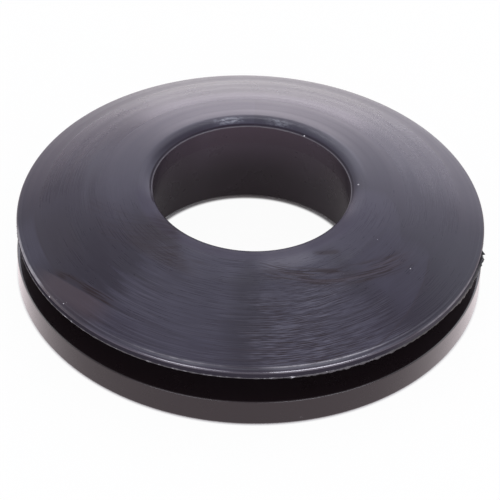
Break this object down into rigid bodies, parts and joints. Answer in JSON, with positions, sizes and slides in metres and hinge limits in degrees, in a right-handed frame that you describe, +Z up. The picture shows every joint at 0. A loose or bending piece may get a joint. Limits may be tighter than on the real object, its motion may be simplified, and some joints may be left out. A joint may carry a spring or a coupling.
{
  "type": "manhole seal",
  "caption": "Round moulded rubber seal with a domed top, a rounded lip round a central duct bore, and a deep groove in its edge that grips a manhole wall.",
  "frame": {"origin": "centre of the flat underside, on the axis of the bore", "axes": "+Z up along the bore's axis, from the flat underside to the domed face; X and Y are free, because the ring is round"},
  "size_m": [0.095, 0.095, 0.0217],
  "materials": {
    "rubber": "satin black moulded rubber"
  },
  "bodies": {
    "root": {"seal": "rubber"}
  },
  "joints": []
}
